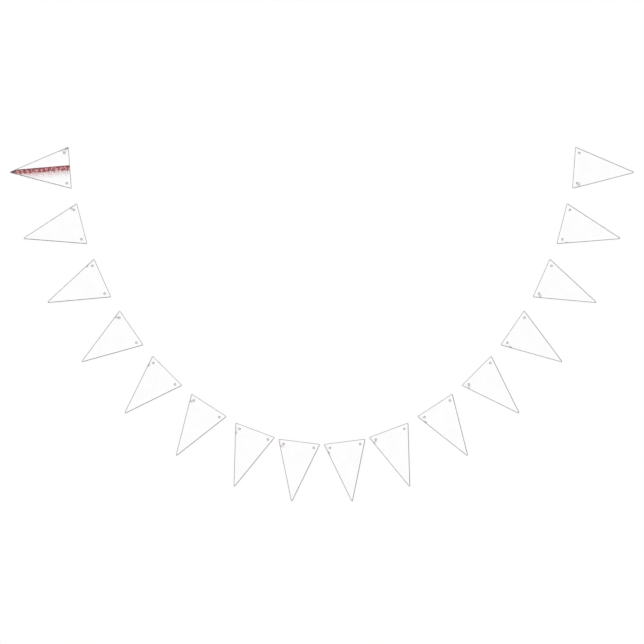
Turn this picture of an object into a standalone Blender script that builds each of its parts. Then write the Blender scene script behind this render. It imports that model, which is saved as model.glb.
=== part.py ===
"""Bunting: sixteen triangular cloth pennants laid out face up in a garland's curve, each with two eyelets.

Metres, +Z up. The pennants lie on the surface at z = 0, and the origin is on it, under the layout's middle.
"""

import math

import bmesh
import bpy
from mathutils import Matrix, Vector

# One pennant, with its top edge along X and its tip towards -Y
PENNANT_WIDTH = 0.150
PENNANT_LENGTH = 0.220
CLOTH_THICKNESS = 0.0012
CORNER_RADIUS = 0.0026
CORNER_STEPS = 4

# Where the two eyelets are, from the middle of the top edge
EYELETS_APART = 0.1086
EYELET_BELOW_EDGE = 0.0155

# One eyelet: a barrel through the cloth with a flange on each side
BORE_RADIUS = 0.00300
BARREL_RADIUS = 0.00340
FACE_FLANGE_RADIUS = 0.00425
BACK_FLANGE_RADIUS = 0.00410
FLANGE_THICKNESS = 0.0004
FLANGE_CROWN = 0.0002
ROLLED_EDGE = 0.00035
EYELET_STEPS = 12
SHARP_EDGE_DEGREES = 40

# The clearance between metal and cloth
GAP = 0.00032

# How far a cutter reaches past the faces that it cuts, and how close points are welded
CUTTER_OVERRUN = 0.001
MERGE_DISTANCE = 0.00001

# Half of the layout, from its middle outwards, in millimetres and degrees. The other half mirrors it.
# Each row is the middle of a pennant's top edge: how far across, how far above the first, and its tilt.
LAYOUT = [
    {"across": 81.2, "above": 0.0, "tilt": 7.2},
    {"across": 238.7, "above": 41.3, "tilt": 20.5},
    {"across": 404.1, "above": 130.5, "tilt": 33.0},
    {"across": 553.3, "above": 254.0, "tilt": 45.0},
    {"across": 681.6, "above": 407.5, "tilt": 55.6},
    {"across": 785.2, "above": 585.8, "tilt": 66.0},
    {"across": 858.8, "above": 780.4, "tilt": 75.7},
    {"across": 901.8, "above": 980.1, "tilt": 85.7},
]
MILLIMETRE = 0.001

CLOTH_COLOUR = (0.93, 0.93, 0.93, 1.0)
METAL_COLOUR = (0.45, 0.45, 0.46, 1.0)


def clear_scene():
    """Removes whatever the file opened with."""
    for thing in list(bpy.data.objects):
        bpy.data.objects.remove(thing)


def new_collection(name):
    """A collection under the scene's own."""
    collection = bpy.data.collections.new(name)
    bpy.context.scene.collection.children.link(collection)
    return collection


def new_material(name, colour, roughness, metallic):
    """A plain surface of one colour."""
    material = bpy.data.materials.new(name)
    material.use_nodes = True
    surface = material.node_tree.nodes["Principled BSDF"]
    surface.inputs["Base Color"].default_value = colour
    surface.inputs["Roughness"].default_value = roughness
    surface.inputs["Metallic"].default_value = metallic
    return material


def pennant_corners():
    """The sharp corners of the triangle, anticlockwise: top right, top left, tip."""
    half = PENNANT_WIDTH / 2
    return [Vector((half, 0)), Vector((-half, 0)), Vector((0, -PENNANT_LENGTH))]


def rounded_corner(before, corner, after):
    """The arc that takes the sharpness off one corner."""
    into, out = (before - corner).normalized(), (after - corner).normalized()
    half_angle = into.angle(out) / 2
    centre = corner + (into + out).normalized() * CORNER_RADIUS / math.sin(half_angle)
    first = corner + into * CORNER_RADIUS / math.tan(half_angle) - centre
    sweep = math.pi - 2 * half_angle
    turns = [sweep * step / CORNER_STEPS for step in range(CORNER_STEPS + 1)]
    return [centre + Matrix.Rotation(turn, 2) @ first for turn in turns]


def pennant_outline():
    """The cut edge of one pennant, anticlockwise, with its corners rounded."""
    corners = pennant_corners()
    points = []
    for place, corner in enumerate(corners):
        before = corners[place - 1]
        after = corners[(place + 1) % len(corners)]
        points += rounded_corner(before, corner, after)
    return points


def eyelet_places():
    """The eyelets' axes on one pennant, by side."""
    half = EYELETS_APART / 2
    return {
        "left": Vector((-half, -EYELET_BELOW_EDGE, 0)),
        "right": Vector((half, -EYELET_BELOW_EDGE, 0)),
    }


def turned(name, profile, collection):
    """A solid turned about Z from a profile of (radius, height), which runs down its outer side.

    A profile that starts and ends on the axis makes a full body. Any other is closed into a ring.
    """
    mesh = bpy.data.meshes.new(name)
    shape = bmesh.new()
    corners = [shape.verts.new((radius, 0, height)) for radius, height in profile]
    for before, after in zip(corners, corners[1:]):
        shape.edges.new((before, after))
    is_ring = profile[0][0] > 0
    if is_ring:
        shape.edges.new((corners[-1], corners[0]))
    shape.to_mesh(mesh)
    shape.free()
    thing = bpy.data.objects.new(name, mesh)
    collection.objects.link(thing)
    screw = thing.modifiers.new("turn", "SCREW")
    screw.axis = "Z"
    screw.steps = EYELET_STEPS
    screw.render_steps = EYELET_STEPS
    screw.use_merge_vertices = not is_ring
    screw.merge_threshold = MERGE_DISTANCE
    screw.use_smooth_shade = False
    return thing


def made_mesh(thing, name):
    """The object's shape, modifiers included, as one welded mesh. The object is removed."""
    bpy.context.view_layer.update()
    seen = thing.evaluated_get(bpy.context.evaluated_depsgraph_get())
    mesh = bpy.data.meshes.new_from_object(seen)
    mesh.name = name
    shape = bmesh.new()
    shape.from_mesh(mesh)
    bmesh.ops.remove_doubles(shape, verts=shape.verts, dist=MERGE_DISTANCE)
    shape.to_mesh(mesh)
    shape.free()
    bpy.data.objects.remove(thing)
    return mesh


def eyelet_mesh(collection, metal):
    """One eyelet, standing on z = 0: a crowned face flange, a barrel and a flat back flange."""
    under_face = CLOTH_THICKNESS + GAP
    face_edge = under_face + FLANGE_THICKNESS
    crown = face_edge + FLANGE_CROWN
    profile = [
        (BORE_RADIUS + ROLLED_EDGE, crown),
        (FACE_FLANGE_RADIUS - ROLLED_EDGE, crown),
        (FACE_FLANGE_RADIUS, under_face),
        (BARREL_RADIUS, under_face),
        (BARREL_RADIUS, FLANGE_THICKNESS),
        (BACK_FLANGE_RADIUS, FLANGE_THICKNESS),
        (BACK_FLANGE_RADIUS, 0),
        (BORE_RADIUS, 0),
        (BORE_RADIUS, face_edge),
    ]
    mesh = made_mesh(turned("eyelet_blank", profile, collection), "eyelet")
    mesh.shade_smooth()
    mesh.set_sharp_from_angle(angle=math.radians(SHARP_EDGE_DEGREES))
    mesh.materials.append(metal)
    return mesh


def hole_cutter(name, place, cutters):
    """Cuts one hole through the cloth, with the shallow seat for the back flange under it."""
    hole = BARREL_RADIUS + GAP / math.cos(math.pi / EYELET_STEPS)
    seat = BACK_FLANGE_RADIUS + GAP / math.cos(math.pi / EYELET_STEPS)
    seat_top = FLANGE_THICKNESS + GAP
    top = CLOTH_THICKNESS + CUTTER_OVERRUN
    profile = [(0, top), (hole, top), (hole, seat_top), (seat, seat_top)]
    profile += [(seat, -CUTTER_OVERRUN), (0, -CUTTER_OVERRUN)]
    cutter = turned(name, profile, cutters)
    cutter.location = place
    cutter.hide_render = True
    cutter.display_type = "WIRE"
    return cutter


def flat_cloth(collection):
    """The uncut triangle: a flat outline given the cloth's thickness."""
    curve = bpy.data.curves.new("pennant_blank", "CURVE")
    curve.dimensions = "2D"
    curve.fill_mode = "BOTH"
    curve.extrude = CLOTH_THICKNESS / 2
    points = pennant_outline()
    spline = curve.splines.new("POLY")
    spline.points.add(len(points) - 1)
    for place, point in enumerate(points):
        spline.points[place].co = (point.x, point.y, 0, 1)
    spline.use_cyclic_u = True
    outline = bpy.data.objects.new("pennant_blank", curve)
    collection.objects.link(outline)
    mesh = made_mesh(outline, "pennant_cloth")
    mesh.transform(Matrix.Translation((0, 0, CLOTH_THICKNESS / 2)))
    blank = bpy.data.objects.new("pennant_cloth", mesh)
    collection.objects.link(blank)
    return blank


def pennant_mesh(collection, cutters, cloth):
    """One pennant with its two holes cut."""
    blank = flat_cloth(collection)
    blank.data.materials.append(cloth)
    for side, place in eyelet_places().items():
        cut = blank.modifiers.new("hole_" + side, "BOOLEAN")
        cut.operation = "DIFFERENCE"
        cut.object = hole_cutter("hole_cutter_" + side, place, cutters)
    return made_mesh(blank, "pennant")


def pennant_transforms():
    """Where each pennant lies, from the left end to the right, with the lowest top edges at y = 0."""
    right_half = []
    left_half = []
    for row in LAYOUT:
        across, above = row["across"] * MILLIMETRE, row["above"] * MILLIMETRE
        tilt = math.radians(row["tilt"])
        right_half.append((Vector((across, above, 0)), tilt))
        left_half.insert(0, (Vector((-across, above, 0)), -tilt))
    return left_half + right_half


def layout_middle(transforms):
    """The middle of the whole layout's box, over the surface."""
    outline = pennant_outline()
    heights = []
    for place, tilt in transforms:
        turn = Matrix.Rotation(tilt, 2)
        heights += [place.y + (turn @ point).y for point in outline]
    return Vector((0, (min(heights) + max(heights)) / 2, 0))


def place_piece(name, mesh, holder, offset, collection):
    """One named piece, held by its pennant's empty."""
    piece = bpy.data.objects.new(name, mesh)
    collection.objects.link(piece)
    piece.parent = holder
    piece.location = offset
    return piece


def build():
    """The whole garland."""
    clear_scene()
    garland = new_collection("bunting")
    cutters = new_collection("cutters")
    cloth = new_material("white_cloth", CLOTH_COLOUR, roughness=0.9, metallic=0.0)
    metal = new_material("grey_metal", METAL_COLOUR, roughness=0.4, metallic=1.0)
    pennant = pennant_mesh(garland, cutters, cloth)
    eyelet = eyelet_mesh(garland, metal)
    transforms = pennant_transforms()
    middle = layout_middle(transforms)
    for number, (place, tilt) in enumerate(transforms, start=1):
        holder = bpy.data.objects.new(f"place_{number:02d}", None)
        garland.objects.link(holder)
        holder.location = place - middle
        holder.rotation_euler.z = tilt
        place_piece(f"pennant_{number:02d}", pennant, holder, (0, 0, 0), garland)
        for side, offset in eyelet_places().items():
            place_piece(f"eyelet_{number:02d}_{side}", eyelet, holder, offset, garland)


build()
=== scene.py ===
"""The looks of a bunting: sixteen white cloth pennants with grey stitched edges and metal eyelets.

Everything is in metres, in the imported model's frame. Each pennant is made in its own flat frame, with the
middle of its top edge at the origin and its tip towards -Y, and is then laid where the frame says. What is
printed on the cloth is placed in millimetres, in that flat frame.
"""

import math
import random

import bpy
import numpy as np
from mathutils import Matrix, Vector
from mathutils.geometry import delaunay_2d_cdt


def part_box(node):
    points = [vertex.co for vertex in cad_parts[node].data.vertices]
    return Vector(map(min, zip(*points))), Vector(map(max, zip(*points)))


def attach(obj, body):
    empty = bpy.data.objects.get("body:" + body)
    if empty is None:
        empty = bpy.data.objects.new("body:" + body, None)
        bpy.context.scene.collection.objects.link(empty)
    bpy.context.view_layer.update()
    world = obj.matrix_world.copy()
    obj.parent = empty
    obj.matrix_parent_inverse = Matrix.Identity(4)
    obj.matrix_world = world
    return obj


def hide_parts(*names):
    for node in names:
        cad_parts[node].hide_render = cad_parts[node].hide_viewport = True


MM = 0.001
PENNANTS = range(1, 17)
SIDES = ("left", "right")

# One pennant's cut
PENNANT_WIDTH = 150 * MM
PENNANT_LENGTH = 220 * MM
CORNER_RADIUS = 2.6 * MM
MIDDLE_BELOW_EDGE = PENNANT_LENGTH / 3

# The eyelets' places, from the middle of the top edge
EYELETS_APART = 108.6 * MM
EYELET_BELOW_EDGE = 15.5 * MM

# The cloth, which ends inside the stitched edge, and its holes
CLOTH_THICKNESS = 0.85 * MM
CLOTH_INSIDE_EDGE = 0.9 * MM
CLOTH_HOLE_RADIUS = 3.6 * MM

# The cloth's points: two rows along its rim, rings round its eyelets, and a grid that keeps clear of both
RIM_POINTS = 300
SECOND_ROW_INSIDE = 2.2 * MM
SECOND_ROW_CLEARANCE = 2.0 * MM
EYELET_RINGS = (CLOTH_HOLE_RADIUS, 4.2 * MM, 4.9 * MM, 5.9 * MM, 7.5 * MM, 9.9 * MM)
EYELET_RING_POINTS = 28
GRID_PITCH = 4.5 * MM
GRID_FROM_ROWS = GRID_PITCH * 0.45
GRID_FROM_RINGS = GRID_PITCH * 0.4
JOINED_WITHIN_MM = 0.00001

# How far the cloth lifts off the surface
LIFT_AT_EDGE = 0.22 * MM
LIFT_AT_EYELET = 0.30 * MM
SWELL_HEIGHT = 0.30 * MM
PUCKER_HEIGHT = 0.07 * MM
PUCKERS = 66

# Where each lift starts and ends, from the pennant's sides or from an eyelet's centre
EDGE_LIFT_FADE = (1.5 * MM, 9 * MM)
PUCKER_RISE = (0, 2 * MM)
SWELL_RISE = (4 * MM, 18 * MM)
EYELET_LIFT_FADE = (5.6 * MM, 13 * MM)

# The slow waves behind the swells: how many, their lengths in millimetres, and what is added to their mean
SWELL_WAVES = 5
SWELL_WAVE_LENGTHS = (45, 95)
SWELL_BIAS = 0.35

# The stitched edge: threads wound round the cloth's rim, each one a rib
EDGE_WIDTHS = {"top": 1.7 * MM, "left": 2.05 * MM, "right": 2.5 * MM}
EDGE_HEIGHT = 1.3 * MM
EDGE_WRAPS = 406
STEPS_PER_WRAP = 4
SECTION_POINTS = 10
GROOVE_DEPTH = 0.2 * MM
SECTION_FULLNESS = 0.8
STRANDS = 3
THREAD_PLACE = "thread_place"

# One eyelet: a domed flange on the face, a barrel, and a flange rolled flat on the back
BORE_RADIUS = 3.0 * MM
BARREL_RADIUS = 3.4 * MM
FACE_FLANGE_RADIUS = 4.25 * MM
FACE_FLANGE_UNDERSIDE = 1.17 * MM
FACE_FLANGE_LIP = 1.13 * MM
FACE_FLANGE_RIM = 1.27 * MM
EYELET_HEIGHT = 2.05 * MM
BACK_FLANGE_RADIUS = 4.1 * MM
BACK_FLANGE_THICKNESS = 0.28 * MM
ROLLED_RADIUS = 0.3 * MM

# Steps round an eyelet, and along each rounded stretch of its section
EYELET_STEPS = 48
DOME_STEPS = 12
LIP_STEPS = 3
BACK_STEPS = 4
ROLL_STEPS = 3

# The angle between two faces from which their edge is shaded sharp
SHARP_EDGE_DEGREES = 50

# The photograph's frame: its size, the metres in a pixel, and the pixel of a known point
PHOTO_PIXELS = 644
METRES_PER_PIXEL = 3.579 * MM
MIRROR_LINE_PIXEL = 321.42
LOWEST_TOP_EDGE_PIXEL = 441.40
LINE_INSIDE_OUTLINE = 1.0 * MM
CAMERA_LENS_MM = 125
SENSOR_MM = 36

# Light: together these bring the white floor just up to full white
WORLD_STRENGTH = 0.865
SUN_STRENGTH = 1.0
SUN_SOFTNESS_DEGREES = 25
SUN_LEAN_DEGREES = (-28, -18, 0)

# The floor, which reaches past the view from any side and lies just under the bunting
FLOOR_REACH = 300.0
FLOOR_BELOW = 0.1 * MM


def pennant_corners():
    """The sharp corners, anticlockwise from the top right, as plane vectors."""
    half = PENNANT_WIDTH / 2
    return [Vector((half, 0)), Vector((-half, 0)), Vector((0, -PENNANT_LENGTH))]


def corner_arc(before, corner, after):
    """The rounding of one corner: its centre, its first and last points, and how far it turns."""
    into, out = (before - corner).normalized(), (after - corner).normalized()
    half_angle = into.angle(out) / 2
    centre = corner + (into + out).normalized() * CORNER_RADIUS / math.sin(half_angle)
    reach = CORNER_RADIUS / math.tan(half_angle)
    return centre, corner + into * reach, corner + out * reach, math.pi - 2 * half_angle


def edge_runs():
    """The outline as arcs and straight runs, anticlockwise from the top right corner.

    Each run has its length, the stitched edge's width at both of its ends, and a function that gives the
    place and the inward normal at a share of the run.
    """
    corners = pennant_corners()
    afters = corners[1:] + corners[:1]
    befores = corners[-1:] + corners[:-1]
    arcs = [corner_arc(*three) for three in zip(befores, corners, afters)]
    widths = [EDGE_WIDTHS[side] for side in ("top", "left", "right")]
    runs = []
    for k, (centre, first, last, sweep) in enumerate(arcs):
        next_first = arcs[(k + 1) % len(arcs)][1]

        def on_arc(share, centre=centre, first=first, sweep=sweep):
            spoke = Matrix.Rotation(sweep * share, 2) @ (first - centre)
            return centre + spoke, -spoke.normalized()

        def on_side(share, last=last, next_first=next_first):
            along = (next_first - last).normalized()
            return last.lerp(next_first, share), Vector((-along.y, along.x))

        runs.append((CORNER_RADIUS * sweep, widths[k - 1], widths[k], on_arc))
        runs.append(((next_first - last).length, widths[k], widths[k], on_side))
    return runs


def edge_walk(stations):
    """Evenly spaced stations round the outline: places, inward normals and the stitched edge's widths."""
    runs = edge_runs()
    step = sum(run[0] for run in runs) / stations
    places, normals, widths = [], [], []
    travelled = 0.0
    for station in range(stations):
        while station * step - travelled > runs[0][0]:
            travelled += runs[0][0]
            runs.append(runs.pop(0))
        length, width_from, width_to, at = runs[0]
        share = (station * step - travelled) / length
        place, normal = at(share)
        places.append(place)
        normals.append(normal)
        widths.append(width_from + (width_to - width_from) * share)
    return np.array(places), np.array(normals), np.array(widths)


def eyelet_places():
    """The two eyelets' centres on a pennant, as plane points."""
    half = EYELETS_APART / 2
    return {"left": np.array((-half, -EYELET_BELOW_EDGE)), "right": np.array((half, -EYELET_BELOW_EDGE))}


def smooth_step(value, low, high):
    """0 below low, 1 above high, and a smooth rise between them."""
    share = np.clip((value - low) / (high - low), 0, 1)
    return share * share * (3 - 2 * share)


def inside_distance(points):
    """How far each point lies inside the nearest side."""
    corners = np.array(pennant_corners())
    distances = []
    for start, end in zip(corners, np.roll(corners, -1, axis=0)):
        along = (end - start) / np.linalg.norm(end - start)
        distances.append((points - start) @ np.array((-along[1], along[0])))
    return np.min(distances, axis=0)


def swell(points, seed):
    """A few slow waves over the cloth, from 0 to 1, different on each pennant."""
    chance = random.Random(seed)
    total = np.zeros(len(points))
    for _ in range(SWELL_WAVES):
        heading = chance.uniform(0, math.tau)
        wave_length = chance.uniform(*SWELL_WAVE_LENGTHS) * MM
        start = chance.uniform(0, math.tau)
        along = points @ np.array((math.cos(heading), math.sin(heading)))
        total += np.sin(math.tau * along / wave_length + start)
    return np.clip(total / SWELL_WAVES + SWELL_BIAS, 0, 1)


def cloth_lift(points, seed):
    """How far the cloth's back is above the surface: on its rim, at its eyelets, and in a few soft swells."""
    inside = inside_distance(points)
    turn = np.arctan2(points[:, 1] + MIDDLE_BELOW_EDGE, points[:, 0])
    puckers = PUCKER_HEIGHT * np.sin(PUCKERS * turn + seed) * smooth_step(inside, *PUCKER_RISE)
    at_edge = 1 - smooth_step(inside, *EDGE_LIFT_FADE)
    swells = SWELL_HEIGHT * swell(points, seed) * smooth_step(inside, *SWELL_RISE)
    lift = at_edge * (LIFT_AT_EDGE + puckers) + swells
    for centre in eyelet_places().values():
        away = np.linalg.norm(points - centre, axis=1)
        near = 1 - smooth_step(away, *EYELET_LIFT_FADE)
        lift = lift * (1 - near) + LIFT_AT_EYELET * near
    return np.maximum(lift, 0)


def ring_points():
    """Rings of points round both eyelets, from the hole's rim outwards."""
    turns = np.arange(EYELET_RING_POINTS) * math.tau / EYELET_RING_POINTS
    spokes = np.column_stack((np.cos(turns), np.sin(turns)))
    return [centre + spokes * radius for centre in eyelet_places().values() for radius in EYELET_RINGS]


def grid_points():
    """A grid of points in staggered rows, clear of the rim's rows and of the eyelets' rings."""
    row_height = GRID_PITCH * math.sqrt(3) / 2
    xs = np.arange(-PENNANT_WIDTH / 2, PENNANT_WIDTH / 2, GRID_PITCH)
    rows = np.arange(0, PENNANT_LENGTH, row_height)
    grid = np.array([(x + GRID_PITCH / 2 * (k % 2), -y) for k, y in enumerate(rows) for x in xs])
    clear = inside_distance(grid) > CLOTH_INSIDE_EDGE + SECOND_ROW_INSIDE + GRID_FROM_ROWS
    for centre in eyelet_places().values():
        clear &= np.linalg.norm(grid - centre, axis=1) > EYELET_RINGS[-1] + GRID_FROM_RINGS
    return grid[clear]


def cloth_points():
    """The cloth's points in the plane: its rim first, then the rings, the second row and the grid."""
    places, normals, _ = edge_walk(RIM_POINTS)
    rim = places + normals * CLOTH_INSIDE_EDGE
    second = places + normals * (CLOTH_INSIDE_EDGE + SECOND_ROW_INSIDE)
    second = second[inside_distance(second) > CLOTH_INSIDE_EDGE + SECOND_ROW_CLEARANCE]
    return np.concatenate([rim, *ring_points(), second, grid_points()])


def closed_chain(first, count):
    """The edges that join a run of points into a ring."""
    return [(first + k, first + (k + 1) % count) for k in range(count)]


def flat_triangles(points):
    """Triangles over the cloth's points, open at the eyelets. The rim is convex, so it bounds them."""
    outlines = closed_chain(0, RIM_POINTS)
    for ring in range(len(SIDES)):
        first = RIM_POINTS + ring * len(EYELET_RINGS) * EYELET_RING_POINTS
        outlines += closed_chain(first, EYELET_RING_POINTS)
    scale = 1 / MM
    plane = [Vector(point * scale) for point in points]
    found, _, faces, _, _, _ = delaunay_2d_cdt(plane, outlines, [], 0, JOINED_WITHIN_MM)
    spots = np.array([tuple(point) for point in found]) * MM
    triangles = np.array([face for face in faces if len(face) == 3])
    kept = np.ones(len(triangles), bool)
    past_first_ring = (EYELET_RINGS[0] + EYELET_RINGS[1]) / 2
    for centre in eyelet_places().values():
        on_hole = np.linalg.norm(spots - centre, axis=1) < past_first_ring
        kept &= ~on_hole[triangles].all(axis=1)
    return spots, triangles[kept]


def open_edges(triangles):
    """The directed edges that only one triangle uses."""
    edges = {(int(a), int(b)) for face in triangles for a, b in zip(face, np.roll(face, -1))}
    return [edge for edge in edges if (edge[1], edge[0]) not in edges]


def mesh_from(name, points, faces):
    """A mesh that is shaded smooth, apart from its sharp edges."""
    mesh = bpy.data.meshes.new(name)
    mesh.from_pydata([tuple(point) for point in points], [], [tuple(map(int, face)) for face in faces])
    mesh.validate()
    mesh.shade_smooth()
    mesh.set_sharp_from_angle(angle=math.radians(SHARP_EDGE_DEGREES))
    return mesh


def cloth_mesh(number):
    """One pennant's cloth: a thin sheet that rests on the surface, with its rim and eyelet seats lifted."""
    spots, triangles = flat_triangles(cloth_points())
    corners = spots[triangles]
    sides = corners[:, 1:] - corners[:, :1]
    turned_down = sides[:, 0, 0] * sides[:, 1, 1] - sides[:, 0, 1] * sides[:, 1, 0] < 0
    triangles[turned_down] = triangles[turned_down][:, ::-1]
    lift = cloth_lift(spots, number)
    back = np.column_stack((spots, lift))
    face = np.column_stack((spots, lift + CLOTH_THICKNESS))
    count = len(spots)
    faces = [tuple(t) for t in triangles] + [tuple(t[::-1] + count) for t in triangles]
    faces += [(b, a, a + count, b + count) for a, b in open_edges(triangles)]
    return mesh_from(f"cloth_{number:02d}", np.concatenate((face, back)), faces)


def fuller(value):
    """Swells a sine or cosine, for a section between an oval and a box."""
    return np.sign(value) * np.abs(value) ** SECTION_FULLNESS


def edge_points(stations):
    """The stitched edge's points, a section at a time. Each section is grooved where a rib ends."""
    places, normals, widths = edge_walk(stations)
    rings = []
    for k in range(SECTION_POINTS):
        turn = math.tau * k / SECTION_POINTS
        phase = (np.arange(stations) / STEPS_PER_WRAP + k / SECTION_POINTS) % 1
        depth = GROOVE_DEPTH * (1 - np.sqrt(1 - (2 * phase - 1) ** 2))
        across = widths / 2 + (widths / 2 - depth) * fuller(math.cos(turn))
        height = EDGE_HEIGHT / 2 + (EDGE_HEIGHT / 2 - depth) * fuller(math.sin(turn))
        rings.append(np.column_stack((places + normals * across[:, None], height)))
    return np.stack(rings, axis=1).reshape(-1, 3)


def tube_faces(sections, section_points):
    """The faces of a closed ring of sections, each one a closed ring of points."""
    faces = []
    for section in range(sections):
        here = section * section_points
        there = (section + 1) % sections * section_points
        for k in range(section_points):
            after = (k + 1) % section_points
            faces.append((here + k, here + after, there + after, there + k))
    return faces


def edge_mesh():
    """The stitched edge of one pennant: a closed ring of ribs that wind round the cloth's rim."""
    stations = EDGE_WRAPS * STEPS_PER_WRAP
    mesh = mesh_from("edge", edge_points(stations), tube_faces(stations, SECTION_POINTS))
    wind_thread(mesh, stations)
    return mesh


def wind_thread(mesh, stations):
    """Stores each face corner's place on the thread: the strands wound so far, and the share round."""
    rows = []
    for station in range(stations):
        for k in range(SECTION_POINTS):
            for onwards, upwards in ((0, 0), (0, 1), (1, 1), (1, 0)):
                share = (k + upwards) / SECTION_POINTS
                wraps = (station + onwards) / STEPS_PER_WRAP + share
                rows.append((wraps * STRANDS, share, 0))
    places = mesh.attributes.new(THREAD_PLACE, "FLOAT_VECTOR", "CORNER")
    places.data.foreach_set("vector", np.ravel(rows))


def oval_arc(centre, radii, start, end, steps):
    """Points along a stretch of an oval, with the angles in degrees."""
    turns = [math.radians(start + (end - start) * step / steps) for step in range(steps + 1)]
    return [(centre[0] + radii[0] * math.cos(t), centre[1] + radii[1] * math.sin(t)) for t in turns]


def eyelet_profile():
    """Half of an eyelet's section, as (radius, height): over the dome, down outside, and up the bore."""
    dome_middle = ((BORE_RADIUS + FACE_FLANGE_RADIUS) / 2, FACE_FLANGE_RIM)
    dome_radii = ((FACE_FLANGE_RADIUS - BORE_RADIUS) / 2, EYELET_HEIGHT - FACE_FLANGE_RIM)
    lip = (FACE_FLANGE_RIM - FACE_FLANGE_LIP) / 2
    lip_middle = (FACE_FLANGE_RADIUS - lip, FACE_FLANGE_LIP + lip)
    back = BACK_FLANGE_THICKNESS / 2
    back_middle = (BACK_FLANGE_RADIUS - back, back)
    roll_middle = (BORE_RADIUS + ROLLED_RADIUS, ROLLED_RADIUS)
    profile = oval_arc(dome_middle, dome_radii, 180, 0, DOME_STEPS)
    profile += oval_arc(lip_middle, (lip, lip), 0, -90, LIP_STEPS)[1:]
    profile.append((BARREL_RADIUS + lip, FACE_FLANGE_UNDERSIDE))
    profile.append((BARREL_RADIUS, FACE_FLANGE_UNDERSIDE - lip))
    profile.append((BARREL_RADIUS, BACK_FLANGE_THICKNESS + back))
    profile.append((BARREL_RADIUS + back, BACK_FLANGE_THICKNESS))
    profile += oval_arc(back_middle, (back, back), 90, -90, BACK_STEPS)
    profile += oval_arc(roll_middle, (ROLLED_RADIUS, ROLLED_RADIUS), -90, -180, ROLL_STEPS)
    return profile


def eyelet_mesh():
    """One eyelet, its section turned about the axis."""
    radius, height = np.array(eyelet_profile()).T
    turns = np.arange(EYELET_STEPS) * math.tau / EYELET_STEPS
    rings = [np.column_stack((radius * math.cos(turn), radius * math.sin(turn), height)) for turn in turns]
    return mesh_from("eyelet", np.concatenate(rings), tube_faces(EYELET_STEPS, len(radius)))


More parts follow.
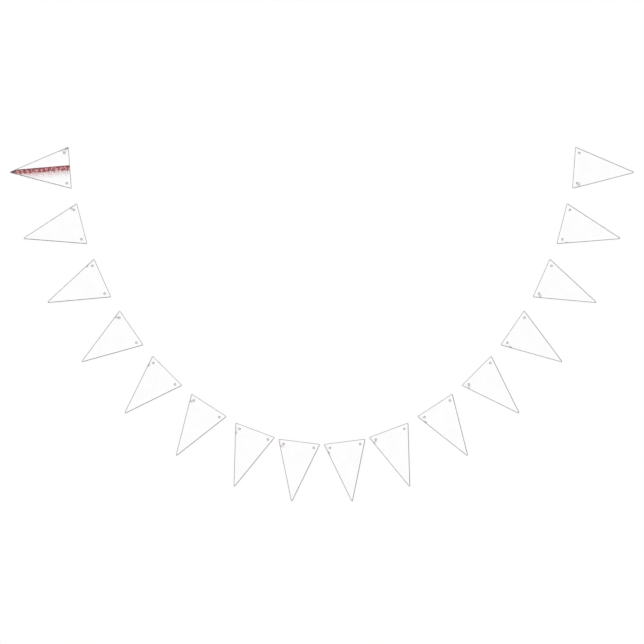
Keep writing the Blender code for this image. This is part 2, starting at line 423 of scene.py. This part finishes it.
class Shader:
    """Short ways to add shader nodes to one material and join them."""

    def __init__(self, name):
        self.material = bpy.data.materials.new(name)
        self.material.use_nodes = True
        self.tree = self.material.node_tree
        self.surface = self.tree.nodes["Principled BSDF"]

    def plug(self, socket, value):
        """Joins a node's output to a socket, or sets the socket's own value."""
        if isinstance(value, bpy.types.NodeSocket):
            self.tree.links.new(value, socket)
        else:
            socket.default_value = value

    def finish(self, values):
        """Sets values of the surface, or joins nodes to it, by the names of its sockets."""
        for name, value in values.items():
            self.plug(self.surface.inputs[name], value)

    def math(self, operation, *values):
        """One sum or function of numbers."""
        node = self.tree.nodes.new("ShaderNodeMath")
        node.operation = operation
        for socket, value in zip(node.inputs, values):
            self.plug(socket, value)
        return node.outputs[0]

    def ramp(self, value, low, high):
        """0 at low, 1 at high, smooth between them. Low may be the greater."""
        node = self.tree.nodes.new("ShaderNodeMapRange")
        node.interpolation_type = "SMOOTHSTEP"
        self.plug(node.inputs["Value"], value)
        self.plug(node.inputs["From Min"], low)
        self.plug(node.inputs["From Max"], high)
        return node.outputs["Result"]

    def mix(self, share, first, second, blend="MIX"):
        """One colour over another, or multiplied by it."""
        node = self.tree.nodes.new("ShaderNodeMix")
        node.data_type = "RGBA"
        node.blend_type = blend
        self.plug(node.inputs["Factor"], share)
        self.plug(node.inputs["A"], first)
        self.plug(node.inputs["B"], second)
        return next(out for out in node.outputs if out.type == "RGBA")

    def tint(self, colour, tone, share, depth, blend="MIX"):
        """A colour with a tone laid over it, or multiplied by it: as strongly as depth where share is 1."""
        return self.mix(self.math("MULTIPLY", share, depth), colour, tone, blend)

    def noise(self, place, scale, detail=2.0):
        """Soft random patches, from 0 to 1."""
        node = self.tree.nodes.new("ShaderNodeTexNoise")
        self.plug(node.inputs["Vector"], place)
        node.inputs["Scale"].default_value = scale
        node.inputs["Detail"].default_value = detail
        return node.outputs[0]

    def length(self, across, along):
        """The length of a plane vector."""
        squares = self.math("MULTIPLY_ADD", across, across, self.math("MULTIPLY", along, along))
        return self.math("SQRT", squares)

    def wobbled(self, place, scale, reach):
        """A place shifted at random by up to half of reach, in millimetres, for hand-drawn rims."""
        node = self.tree.nodes.new("ShaderNodeTexNoise")
        self.plug(node.inputs["Vector"], place)
        node.inputs["Scale"].default_value = scale
        shift = self.tree.nodes.new("ShaderNodeVectorMath")
        shift.operation = "MULTIPLY_ADD"
        self.plug(shift.inputs[0], node.outputs["Color"])
        shift.inputs[1].default_value = (reach * MM,) * 3
        self.plug(shift.inputs[2], place)
        return shift.outputs[0]

    def dots(self, place, pitch, radius, soft, scatter=1.0):
        """Scattered dots, in millimetres: 1 inside a dot, and a random number that is each dot's own."""
        node = self.tree.nodes.new("ShaderNodeTexVoronoi")
        node.voronoi_dimensions = "2D"
        node.inputs["Scale"].default_value = 1 / (pitch * MM)
        node.inputs["Randomness"].default_value = scatter
        self.plug(node.inputs["Vector"], place)
        away = self.math("MULTIPLY", node.outputs["Distance"], pitch)
        split = self.tree.nodes.new("ShaderNodeSeparateColor")
        self.plug(split.inputs[0], node.outputs["Color"])
        inside = self.ramp(self.math("SUBTRACT", away, radius), soft / 2, -soft / 2)
        return inside, split.outputs[0]

    def own_place(self):
        """The place in the pennant's own flat frame: the vector, and X, Y and Z in millimetres."""
        coordinates = self.tree.nodes.new("ShaderNodeTexCoord").outputs["Object"]
        split = self.tree.nodes.new("ShaderNodeSeparateXYZ")
        self.plug(split.inputs[0], coordinates)
        return coordinates, *(self.math("DIVIDE", split.outputs[axis], MM) for axis in range(3))

    def world_place(self):
        """The place in the whole layout, so that no two pennants vary alike."""
        return self.tree.nodes.new("ShaderNodeNewGeometry").outputs["Position"]

    def thread_place(self):
        """The place on the edge's thread: the strands wound so far, and the share of the way round."""
        node = self.tree.nodes.new("ShaderNodeAttribute")
        node.attribute_name = THREAD_PLACE
        split = self.tree.nodes.new("ShaderNodeSeparateXYZ")
        self.plug(split.inputs[0], node.outputs["Vector"])
        return split.outputs[0], split.outputs[1]

    def bump(self, height, distance, strength):
        """Relief too fine for the mesh."""
        node = self.tree.nodes.new("ShaderNodeBump")
        node.inputs["Strength"].default_value = strength
        node.inputs["Distance"].default_value = distance
        self.plug(node.inputs["Height"], height)
        self.plug(self.surface.inputs["Normal"], node.outputs[0])


def linear_channel(value):
    """One channel of an sRGB colour, 0 to 255, as the linear one that a socket takes."""
    share = value / 255
    return ((share + 0.055) / 1.055) ** 2.4 if share > 0.0404 else share / 12.92


def rgb(red, green, blue):
    """An sRGB colour, 0 to 255, for a socket."""
    return (linear_channel(red), linear_channel(green), linear_channel(blue), 1.0)


# Colours
CLOTH_WHITE = (0.899, 0.899, 0.900, 1.0)
CLOTH_SHADE = (0.881, 0.880, 0.882, 1.0)
# Painted shade for the gaps between the cloth's yarns
CLOTH_GAP_PAINTED_SHADE = (0.880, 0.878, 0.880, 1.0)
FLOOR_WHITE = (0.885, 0.885, 0.885, 1.0)
THREAD_GREY = rgb(151, 150, 152)
THREAD_SHADE = rgb(132, 131, 133)
# Painted shade for the grooves between the thread's plies and strands, and the darker tone of its fibres
THREAD_GROOVE_SHADE_AND_FIBRE_TONE = rgb(79, 78, 80)
METAL_GREY = rgb(150, 150, 152)
METAL_DARK = rgb(96, 95, 96)
ROSE = rgb(166, 84, 92)
DEEP_ROSE = rgb(92, 40, 45)
PALE_ROSE = rgb(214, 166, 168)
PETAL_BROWN = rgb(140, 108, 107)
PETAL_PINK = rgb(192, 108, 116)
WASH_ROSE = rgb(212, 194, 198)
TIP_BROWN = rgb(70, 55, 54)
MARK_GREY = rgb(128, 122, 125)
MARK_BLUSH = rgb(224, 202, 208)
MARK_PLUM = rgb(158, 138, 145)
MARK_DEEP = rgb(104, 54, 60)
# A faint grey that darkens the cloth in wide ovals beside the left eyelet
MARK_FAINT_GREY = rgb(200, 190, 187)

# Each surface's own values, by the names of the shader's sockets
CLOTH_FINISH = {"Roughness": 0.92, "Specular IOR Level": 0.2, "Sheen Weight": 0.06, "Sheen Roughness": 0.5}
THREAD_FINISH = {"Roughness": 0.8, "Specular IOR Level": 0.25, "Sheen Weight": 0.1}
METAL_FINISH = {"Metallic": 1.0}
FLOOR_FINISH = {"Base Color": FLOOR_WHITE, "Roughness": 1.0, "Specular IOR Level": 0.0}

# Noise scales, in cells to the metre, and the finer layers that some of them add
CLOTH_PATCH_NOISE = 22.0
SLUB_NOISE = 900.0
MARK_STRENGTH_NOISE = 9.0
MARK_FRAY_NOISE = 420.0
BLOTCH_NOISE = 330.0
DARK_PATCH_NOISE = 300.0
SCALLOP_NOISE = 380.0
CLOUD_NOISE = 130.0
PETAL_NOISE = 420.0
TIP_NOISE = 300.0
DYE_NOISE = 60.0
FIBRE_NOISE = 5200.0
METAL_NOISE = 500.0
FINE_DETAIL = 3.0
METAL_DETAIL = 4.0

# The values of a noise, or of the weave's height for the gaps' painted shade, between which a tone comes in
PATCHES_BETWEEN = (0.3, 0.7)
GAP_SHADE_BETWEEN = (0.6, 0.15)
BLOTCHES_BETWEEN = (0.38, 0.62)
CLOUDS_BETWEEN = (0.35, 0.65)
MARKS_VARY_BETWEEN = (0.25, 0.6)
METAL_WEAR_BETWEEN = (0.4, 0.7)

# The cloth: its yarns' pitch in millimetres, how dark the painted shade in its gaps is, and its relief
YARN_PITCH = 0.55
GAP_SHADE_DEPTH = 0.5
SLUB_SHARE = 0.35
WEAVE_RELIEF = 0.10 * MM
WEAVE_RELIEF_STRENGTH = 0.5

# The print goes in from the face: how much shows on the back, and the heights in mm between which it fades
PRINT_ON_BACK = 0.35
PRINT_FADES_BETWEEN = (CLOTH_THICKNESS / MM * 0.7, CLOTH_THICKNESS / MM * 0.95)

# The edge thread: how many plies cross a strand on its way round, and its relief
PLIES_ROUND = 20.0
PLY_SHARE = 0.18
FIBRE_SHARE = 0.15
STRAND_RELIEF = 0.16 * MM
STRAND_RELIEF_STRENGTH = 0.9

# Painted shade in the thread's ply and strand grooves, and its fibres' random dark: from which value to
# which, how deeply
PLY_GROOVE_PAINTED_SHADE = {"low": 0.5, "high": 0.0, "depth": 0.35}
FIBRE_SHADE = {"low": 0.5, "high": 0.75, "depth": 0.3}
STRAND_GROOVE_PAINTED_SHADE = {"low": 0.75, "high": 0.2, "depth": 0.85}

# The metal: how rough it is at least and how much more where it is worn, and its relief
METAL_ROUGHNESS = 0.28
METAL_WEAR_ROUGHNESS = 0.25
METAL_RELIEF = 0.02 * MM
METAL_RELIEF_STRENGTH = 0.3

# The first pennant's printed band, in millimetres. Its left edge is placed from the pennant's middle, and
# leans by a share of the way along. All else across is placed from that edge.
BAND_LEFT_EDGE = -9.5
BAND_LEAN = -0.0088
BAND_LEFT_SOFTNESS = 0.4
SCALLOP_PITCH = 17.0
SCALLOP_SHALLOWEST = 12.5
SCALLOP_DEPTH = 6.0
SCALLOP_FRAY = 5.0
SCALLOP_SOFTNESS = 1.0

# Its ground has dark patches, fewer to the right, and is darker along its left edge
PATCH_PITCH = 5.2
PATCH_RADIUS = PATCH_PITCH * 0.46
PATCH_WOBBLE = 2.4
PATCH_SOFTNESS = 0.5
PATCH_SCATTER = 0.7
PATCH_COVER = 0.80
PATCH_COVER_LOST = 0.35
PATCH_COVER_LOST_OVER = 16.0
PATCH_DEPTH = 0.88
LEFT_SHADE = {"low": 9.5, "high": 0.5, "depth": 0.55}

# Its rows of flower heads, how they vary, and a head's shape: its core, lobe and eye are shares of its radius
BLOSSOM_ROWS = [
    {"inside": 13.0, "shift": 0.0, "radius": 2.9, "petals": 5, "step": 0.618, "tone": "deep"},
    {"inside": 6.6, "shift": 0.5, "radius": 2.5, "petals": 6, "step": 0.414, "tone": "pale"},
    {"inside": 16.6, "shift": 0.5, "radius": 1.6, "petals": 4, "step": 0.732, "tone": "pale"},
]
HEAD_DRIFT_ALONG = 5.0
HEAD_DRIFT_ACROSS = 2.0
HEAD_SIZE_SPREAD = 0.4
HEAD_CORE = 0.62
HEAD_LOBE = 0.45
HEAD_SOFTNESS = 0.25
HEAD_DEPTH = 0.9
EYE_OUTSIDE = 0.3
EYE_INSIDE = 0.2

# The wash and the loose petals to its right: their cover at the start, how fast they thin out, and their end
SPRAY_START = 15.0
SPRAY_THICKEST = 1.5
SPRAY_END_SOFTNESS = 8.0
WASH = {"cover": 0.52, "fade": 15.0, "end": 48.0}
PETALS = {"cover": 0.84, "fade": 8.5, "end": 42.0}
CLOUD_THINNEST = 0.55
CLOUD_SPREAD = 0.9
PETAL_PITCH = 3.3
PETAL_WOBBLE = 1.6
PETAL_SOFTNESS = 0.45
PETAL_BROWNING = 0.019
PETAL_TONES_BETWEEN = (-0.1, 0.1)

# Its brown tip: the places along the pennant between which it comes in, how ragged, and how dark
TIP_BETWEEN = (-195.0, -199.0)
TIP_FRAY = 5.0
TIP_DEPTH = 0.92

# Marks beside the left eyelet, in millimetres on the cloth: small prints, and wide faint grey ovals. All are
# ovals, turned in degrees.
MARKS = {
    "odd": [
        {"x": -59.5, "y": -33.5, "long": 6.5, "wide": 4.2, "turn": -71, "tone": MARK_BLUSH, "strength": 0.55},
        {"x": -66.0, "y": -16.0, "long": 15.0, "wide": 5.0, "turn": -71, "tone": MARK_FAINT_GREY, "strength": 0.20},
        {"x": -61.6, "y": -33.0, "long": 6.2, "wide": 2.6, "turn": -71, "tone": MARK_GREY, "strength": 0.82},
    ],
    "even": [
        {"x": -59.5, "y": -25.0, "long": 6.6, "wide": 4.0, "turn": 20, "tone": MARK_BLUSH, "strength": 0.62},
        {"x": -66.0, "y": -14.0, "long": 11.0, "wide": 4.4, "turn": -71, "tone": MARK_FAINT_GREY, "strength": 0.25},
        {"x": -61.6, "y": -22.6, "long": 6.8, "wide": 2.3, "turn": 42, "tone": MARK_GREY, "strength": 0.62},
    ],
    "pinker": [
        {"x": -60.0, "y": -23.5, "long": 9.5, "wide": 4.6, "turn": 15, "tone": MARK_BLUSH, "strength": 0.75},
        {"x": -67.5, "y": -12.0, "long": 9.5, "wide": 3.2, "turn": -71, "tone": MARK_BLUSH, "strength": 0.55},
        {"x": -61.5, "y": -21.0, "long": 7.0, "wide": 1.9, "turn": 40, "tone": MARK_PLUM, "strength": 0.5},
        {"x": -58.5, "y": -26.0, "long": 7.6, "wide": 1.6, "turn": 4, "tone": MARK_PLUM, "strength": 0.6},
    ],
    "first": [
        {"x": -65.0, "y": -13.0, "long": 12.0, "wide": 8.2, "turn": -62, "tone": MARK_FAINT_GREY, "strength": 0.54},
        {"x": -59.0, "y": -20.5, "long": 6.5, "wide": 2.2, "turn": 48, "tone": MARK_GREY, "strength": 0.20},
        {"x": -71.4, "y": -3.4, "long": 3.6, "wide": 2.6, "turn": -40, "tone": MARK_DEEP, "strength": 1.0},
        {"x": -68.8, "y": -10.2, "long": 3.6, "wide": 2.6, "turn": -71, "tone": MARK_DEEP, "strength": 0.80},
        {"x": -61.9, "y": -30.3, "long": 4.4, "wide": 1.8, "turn": -71, "tone": MARK_GREY, "strength": 0.42},
    ],
}

# How ragged a mark's rim is, where it fades in, and the least share of its strength on any pennant
MARK_FRAY = 0.9
MARK_RIM_BETWEEN = (1.9, 0.9)
MARK_WEAKEST = 0.55

# The pennants whose marks differ from those of the odd and the even ones
SPECIAL_KINDS = {1: "first", 8: "pinker", 16: "pinker"}


def weave(shader, across, along):
    """The height of a plain weave, whose yarns pass over and under each other."""
    sine_x = shader.math("SINE", shader.math("MULTIPLY", across, math.pi / YARN_PITCH))
    sine_y = shader.math("SINE", shader.math("MULTIPLY", along, math.pi / YARN_PITCH))
    over = shader.math("MULTIPLY_ADD", shader.math("MULTIPLY", sine_x, sine_y), 0.5, 0.5)
    warp = shader.math("MULTIPLY", shader.math("ABSOLUTE", sine_x), over)
    weft = shader.math("MULTIPLY", shader.math("ABSOLUTE", sine_y), shader.math("SUBTRACT", 1.0, over))
    return shader.math("MAXIMUM", warp, weft)


def oval_mark(shader, across, along, x, y, long, wide, turn):
    """1 inside an oval on the cloth and 0 outside it, with a soft ragged rim."""
    cosine, sine = math.cos(math.radians(turn)), math.sin(math.radians(turn))
    dx, dy = shader.math("SUBTRACT", across, x), shader.math("SUBTRACT", along, y)
    lengthways = shader.math("MULTIPLY_ADD", dx, cosine, shader.math("MULTIPLY", dy, sine))
    sideways = shader.math("MULTIPLY_ADD", dx, -sine, shader.math("MULTIPLY", dy, cosine))
    away = shader.length(shader.math("DIVIDE", lengthways, long), shader.math("DIVIDE", sideways, wide))
    ragged = shader.noise(shader.world_place(), MARK_FRAY_NOISE)
    return shader.ramp(shader.math("MULTIPLY_ADD", ragged, MARK_FRAY, away), *MARK_RIM_BETWEEN)


def corner_marks(shader, across, along, colour, rows):
    """The small faint marks beside the left eyelet, printed ones and wide faint grey ovals, stronger on some
    pennants.
    """
    vary = shader.ramp(shader.noise(shader.world_place(), MARK_STRENGTH_NOISE), *MARKS_VARY_BETWEEN)
    vary = shader.math("MULTIPLY_ADD", vary, 1 - MARK_WEAKEST, MARK_WEAKEST)
    for row in rows:
        place = {key: row[key] for key in ("x", "y", "long", "wide", "turn")}
        share = oval_mark(shader, across, along, **place)
        share = shader.math("MULTIPLY", shader.math("MULTIPLY", share, row["strength"]), vary)
        colour = shader.mix(share, colour, row["tone"])
    return colour


def blossoms(shader, inside, along, row):
    """1 inside the flower heads of one row, and 1 inside their small eyes."""
    steps = shader.math("ADD", shader.math("DIVIDE", along, SCALLOP_PITCH), row["shift"])
    lot = shader.math("FRACT", shader.math("MULTIPLY", shader.math("FLOOR", steps), row["step"]))
    wrapped = shader.math("SUBTRACT", shader.math("FRACT", steps), 0.5)
    drift = shader.math("SUBTRACT", lot, 0.5)
    drift_along = shader.math("MULTIPLY", drift, HEAD_DRIFT_ALONG)
    drift_across = shader.math("MULTIPLY", drift, HEAD_DRIFT_ACROSS)
    dy = shader.math("MULTIPLY_ADD", wrapped, SCALLOP_PITCH, drift_along)
    dx = shader.math("ADD", shader.math("SUBTRACT", inside, row["inside"]), drift_across)
    size = shader.math("MULTIPLY_ADD", drift, HEAD_SIZE_SPREAD, 1.0)
    away = shader.math("DIVIDE", shader.length(dx, dy), size)
    heading = shader.math("MULTIPLY_ADD", lot, math.tau, shader.math("ARCTAN2", dy, dx))
    petals = shader.math("COSINE", shader.math("MULTIPLY", heading, row["petals"] / 2))
    lobe = shader.math("ABSOLUTE", petals)
    rim = shader.math("MULTIPLY_ADD", lobe, row["radius"] * HEAD_LOBE, row["radius"] * HEAD_CORE)
    head = shader.ramp(shader.math("SUBTRACT", away, rim), HEAD_SOFTNESS, -HEAD_SOFTNESS)
    eye = shader.ramp(away, row["radius"] * EYE_OUTSIDE, row["radius"] * EYE_INSIDE)
    return head, eye


def shaded(shader, colour, tone, value, low, high, depth):
    """A colour that turns towards a tone as a value goes from low to high."""
    return shader.tint(colour, tone, shader.ramp(value, low, high), depth)


def band_ground(shader, place, inside):
    """The band's mottled ground: rose and pale rose, with dark patches that thin out to the right."""
    blotch = shader.ramp(shader.noise(place, BLOTCH_NOISE, FINE_DETAIL), *BLOTCHES_BETWEEN)
    ground = shader.mix(blotch, ROSE, PALE_ROSE)
    wobbled = shader.wobbled(place, DARK_PATCH_NOISE, PATCH_WOBBLE)
    patch, lot = shader.dots(wobbled, PATCH_PITCH, PATCH_RADIUS, PATCH_SOFTNESS, PATCH_SCATTER)
    rightwards = shader.math("DIVIDE", inside, PATCH_COVER_LOST_OVER)
    fewer = shader.math("MULTIPLY_ADD", rightwards, -PATCH_COVER_LOST, PATCH_COVER)
    dark = shader.math("MULTIPLY", patch, shader.math("LESS_THAN", lot, fewer))
    ground = shader.tint(ground, DEEP_ROSE, dark, PATCH_DEPTH)
    return shaded(shader, ground, DEEP_ROSE, inside, **LEFT_SHADE)


def thinning(shader, inside, cover, fade, end):
    """A cover that thins out from the band's right side, down to none at the end."""
    past_start = shader.math("SUBTRACT", SPRAY_START, inside)
    thinner = shader.math("EXPONENT", shader.math("DIVIDE", past_start, fade))
    thinner = shader.math("MULTIPLY", shader.math("MINIMUM", thinner, SPRAY_THICKEST), cover)
    return shader.math("MULTIPLY", thinner, shader.ramp(inside, end, end - SPRAY_END_SOFTNESS))


def petal_spray(shader, place, inside, ground):
    """A pale wash and loose petals that fall away to the right of the band, fewer and fewer."""
    wash = thinning(shader, inside, **WASH)
    clouds = shader.ramp(shader.noise(place, CLOUD_NOISE, FINE_DETAIL), *CLOUDS_BETWEEN)
    clouds = shader.math("MULTIPLY_ADD", clouds, CLOUD_SPREAD, CLOUD_THINNEST)
    ground = shader.mix(shader.math("MULTIPLY", wash, clouds), ground, WASH_ROSE)
    cover = thinning(shader, inside, **PETALS)
    radius = shader.math("MULTIPLY", shader.math("SQRT", cover), PETAL_PITCH / math.sqrt(math.pi))
    wobbled = shader.wobbled(place, PETAL_NOISE, PETAL_WOBBLE)
    petal, lot = shader.dots(wobbled, PETAL_PITCH, radius, PETAL_SOFTNESS)
    pinker = shader.math("MULTIPLY_ADD", inside, -PETAL_BROWNING, lot)
    tone = shader.mix(shader.ramp(pinker, *PETAL_TONES_BETWEEN), PETAL_BROWN, PETAL_PINK)
    return shader.mix(petal, ground, tone)


def band_body(shader, place, inside, along):
    """1 on the band itself, between its straight left side and its ragged scallops."""
    swing = shader.math("SINE", shader.math("MULTIPLY", along, math.pi / SCALLOP_PITCH))
    scallop = shader.math("MULTIPLY_ADD", shader.math("ABSOLUTE", swing), SCALLOP_DEPTH, SCALLOP_SHALLOWEST)
    fray = shader.math("MULTIPLY_ADD", shader.noise(place, SCALLOP_NOISE), SCALLOP_FRAY, -SCALLOP_FRAY / 2)
    right_edge = shader.math("ADD", scallop, fray)
    from_left = shader.ramp(inside, -BAND_LEFT_SOFTNESS, BAND_LEFT_SOFTNESS)
    from_right = shader.ramp(inside, right_edge, shader.math("SUBTRACT", right_edge, SCALLOP_SOFTNESS))
    return shader.math("MULTIPLY", from_left, from_right)


def rose_band(shader, place, across, along, ground):
    """The first pennant's border: a mottled rose band with flower heads, scallops and loose petals."""
    left_edge = shader.math("MULTIPLY_ADD", along, BAND_LEAN, BAND_LEFT_EDGE)
    inside = shader.math("SUBTRACT", across, left_edge)
    rightwards = shader.math("GREATER_THAN", inside, 0.0)
    cloth = shader.mix(rightwards, ground, petal_spray(shader, place, inside, ground))
    body = band_body(shader, place, inside, along)
    cloth = shader.mix(body, cloth, band_ground(shader, place, inside))
    for row in BLOSSOM_ROWS:
        head, eye = blossoms(shader, inside, along, row)
        tones = (DEEP_ROSE, PALE_ROSE) if row["tone"] == "deep" else (PALE_ROSE, DEEP_ROSE)
        cloth = shader.tint(cloth, tones[0], head, HEAD_DEPTH)
        cloth = shader.tint(cloth, tones[1], eye, HEAD_DEPTH)
    worn = shader.math("MULTIPLY_ADD", shader.noise(place, TIP_NOISE), TIP_FRAY, along)
    return shader.tint(cloth, TIP_BROWN, shader.ramp(worn, *TIP_BETWEEN), TIP_DEPTH)


def cloth_material(name, marks, banded=False):
    """White woven cotton with its small marks, painted shade in the gaps between its yarns and, on the first
    pennant, its printed band.
    """
    shader = Shader(name)
    place, across, along, up = shader.own_place()
    patches = shader.noise(shader.world_place(), CLOTH_PATCH_NOISE)
    plain = shader.mix(shader.ramp(patches, *PATCHES_BETWEEN), CLOTH_WHITE, CLOTH_SHADE)
    printed = rose_band(shader, place, across, along, plain) if banded else plain
    printed = corner_marks(shader, across, along, printed, marks)
    on_face = shader.ramp(up, *PRINT_FADES_BETWEEN)
    dyed = shader.math("MULTIPLY_ADD", on_face, 1 - PRINT_ON_BACK, PRINT_ON_BACK)
    yarns = weave(shader, across, along)
    # Painted shade: the colour is multiplied darker where the weave is low, in the gaps between the yarns
    gap_shade = shader.ramp(yarns, *GAP_SHADE_BETWEEN)
    colour = shader.tint(shader.mix(dyed, plain, printed), CLOTH_GAP_PAINTED_SHADE, gap_shade, GAP_SHADE_DEPTH, "MULTIPLY")
    shader.finish({"Base Color": colour, **CLOTH_FINISH})
    slub = shader.noise(place, SLUB_NOISE, FINE_DETAIL)
    relief = shader.math("MULTIPLY_ADD", slub, SLUB_SHARE, yarns)
    shader.bump(relief, WEAVE_RELIEF, WEAVE_RELIEF_STRENGTH)
    return shader.material


def thread_material():
    """Grey spun thread, with painted shade in the grooves between its turns and its plies, and fibres darker
    at random.
    """
    shader = Shader("edge_thread")
    wound, share = shader.thread_place()
    off_centre = shader.math("MULTIPLY_ADD", shader.math("FRACT", wound), 2.0, -1.0)
    fallen = shader.math("MULTIPLY", off_centre, off_centre)
    strand = shader.math("SQRT", shader.math("SUBTRACT", 1.0, fallen))
    turns = shader.math("MULTIPLY_ADD", share, PLIES_ROUND, wound)
    ply_wave = shader.math("SINE", shader.math("MULTIPLY", turns, math.tau))
    plies = shader.math("MULTIPLY_ADD", ply_wave, 0.5, 0.5)
    fibres = shader.noise(shader.world_place(), FIBRE_NOISE, FINE_DETAIL)
    dye = shader.noise(shader.world_place(), DYE_NOISE)
    colour = shader.mix(shader.ramp(dye, *PATCHES_BETWEEN), THREAD_GREY, THREAD_SHADE)
    # Painted shade in the grooves between the plies and between the strands; the fibres darken at random
    colour = shaded(shader, colour, THREAD_GROOVE_SHADE_AND_FIBRE_TONE, plies, **PLY_GROOVE_PAINTED_SHADE)
    colour = shaded(shader, colour, THREAD_GROOVE_SHADE_AND_FIBRE_TONE, fibres, **FIBRE_SHADE)
    colour = shaded(shader, colour, THREAD_GROOVE_SHADE_AND_FIBRE_TONE, strand, **STRAND_GROOVE_PAINTED_SHADE)
    shader.finish({"Base Color": colour, **THREAD_FINISH})
    fine = shader.math("MULTIPLY_ADD", plies, PLY_SHARE, shader.math("MULTIPLY", fibres, FIBRE_SHARE))
    shader.bump(shader.math("ADD", strand, fine), STRAND_RELIEF, STRAND_RELIEF_STRENGTH)
    return shader.material


def metal_material():
    """Dull nickel, a little brushed and worn."""
    shader = Shader("eyelet_metal")
    wear = shader.noise(shader.world_place(), METAL_NOISE, METAL_DETAIL)
    colour = shader.mix(shader.ramp(wear, *METAL_WEAR_BETWEEN), METAL_GREY, METAL_DARK)
    roughness = shader.math("MULTIPLY_ADD", wear, METAL_WEAR_ROUGHNESS, METAL_ROUGHNESS)
    shader.finish({"Base Color": colour, "Roughness": roughness, **METAL_FINISH})
    shader.bump(wear, METAL_RELIEF, METAL_RELIEF_STRENGTH)
    return shader.material


def floor_material():
    """Plain matt white."""
    shader = Shader("floor")
    shader.finish(FLOOR_FINISH)
    return shader.material


def new_object(name, mesh, place=None):
    """An object in the scene, laid by a pennant's matrix."""
    thing = bpy.data.objects.new(name, mesh)
    bpy.context.scene.collection.objects.link(thing)
    if place is not None:
        thing.matrix_world = place
    return thing


def pennant_place(number):
    """Where a pennant lies: the matrix from its own flat frame to the layout, read from its two eyelets."""
    centres = []
    for side in SIDES:
        low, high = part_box(f"eyelet_{number:02d}_{side}")
        centres.append(((low + high) / 2).to_2d())
    across = (centres[1] - centres[0]).normalized()
    upwards = Vector((-across.y, across.x))
    top = (centres[0] + centres[1]) / 2 + upwards * EYELET_BELOW_EDGE
    turn = Matrix.Rotation(math.atan2(across.y, across.x), 4, "Z")
    return Matrix.Translation((top.x, top.y, 0)) @ turn


def make_pennant(number, materials, edge, eyelet):
    """One pennant: its cloth, its stitched edge and its two eyelets, each in place of its CAD solid."""
    place = pennant_place(number)
    kind = SPECIAL_KINDS.get(number, "odd" if number % 2 else "even")
    cloth = new_object(f"cloth_{number:02d}", cloth_mesh(number), place)
    cloth.data.materials.append(materials[kind])
    rim = new_object(f"edge_{number:02d}", edge, place)
    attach(cloth, "root")
    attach(rim, "root")
    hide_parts(f"pennant_{number:02d}")
    for side, centre in eyelet_places().items():
        offset = Matrix.Translation((centre[0], centre[1], 0))
        ring = new_object(f"ring_{number:02d}_{side}", eyelet, place @ offset)
        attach(ring, "root")
        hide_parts(f"eyelet_{number:02d}_{side}")


def make_bunting():
    """All the pennants. They share one stitched edge's mesh and one eyelet's."""
    cloths = {
        "first": cloth_material("printed_cloth", MARKS["first"], banded=True),
        "odd": cloth_material("white_cloth_odd", MARKS["odd"]),
        "even": cloth_material("white_cloth_even", MARKS["even"]),
        "pinker": cloth_material("white_cloth_pinker", MARKS["pinker"]),
    }
    edge = edge_mesh()
    edge.materials.append(thread_material())
    eyelet = eyelet_mesh()
    eyelet.materials.append(metal_material())
    for number in PENNANTS:
        make_pennant(number, cloths, edge, eyelet)


def make_floor():
    """A plain pale floor."""
    mesh = bpy.data.meshes.new("floor")
    corners = [(x * FLOOR_REACH, y * FLOOR_REACH, 0) for x, y in ((-1, -1), (1, -1), (1, 1), (-1, 1))]
    mesh.from_pydata(corners, [], [(0, 1, 2, 3)])
    mesh.materials.append(floor_material())
    floor = new_object("floor", mesh)
    floor.location.z = -FLOOR_BELOW


def make_lights():
    """A bright even surround and one wide soft light from above."""
    world = bpy.data.worlds.new("surround")
    world.use_nodes = True
    world.node_tree.nodes["Background"].inputs["Color"].default_value = (1, 1, 1, 1)
    world.node_tree.nodes["Background"].inputs["Strength"].default_value = WORLD_STRENGTH
    bpy.context.scene.world = world
    lamp = bpy.data.lights.new("softbox", "SUN")
    lamp.energy = SUN_STRENGTH
    lamp.angle = math.radians(SUN_SOFTNESS_DEGREES)
    sun = new_object("softbox", lamp)
    sun.rotation_euler = [math.radians(angle) for angle in SUN_LEAN_DEGREES]


def make_camera():
    """Straight above, with the photograph's framing."""
    lowest = pennant_place(len(PENNANTS) // 2 + 1)
    tilt = lowest.to_euler().z
    line_height = lowest.translation.y - LINE_INSIDE_OUTLINE * math.cos(tilt)
    middle = (PHOTO_PIXELS - 1) / 2
    x = (middle - MIRROR_LINE_PIXEL) * METRES_PER_PIXEL
    y = line_height + (LOWEST_TOP_EDGE_PIXEL - middle) * METRES_PER_PIXEL
    view_width = PHOTO_PIXELS * METRES_PER_PIXEL
    data = bpy.data.cameras.new("camera")
    data.lens = CAMERA_LENS_MM
    data.sensor_width = SENSOR_MM
    camera = new_object("camera", data)
    camera.location = (x, y, view_width * CAMERA_LENS_MM / SENSOR_MM + CLOTH_THICKNESS)
    bpy.context.scene.camera = camera
    bpy.context.scene.view_settings.view_transform = "Standard"


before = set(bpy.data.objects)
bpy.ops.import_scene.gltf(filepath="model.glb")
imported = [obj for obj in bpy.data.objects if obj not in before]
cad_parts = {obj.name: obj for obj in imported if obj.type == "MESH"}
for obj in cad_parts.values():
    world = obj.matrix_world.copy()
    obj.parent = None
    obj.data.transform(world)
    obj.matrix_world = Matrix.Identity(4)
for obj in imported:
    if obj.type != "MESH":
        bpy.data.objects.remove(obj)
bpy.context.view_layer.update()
make_camera()
make_floor()
make_lights()
make_bunting()
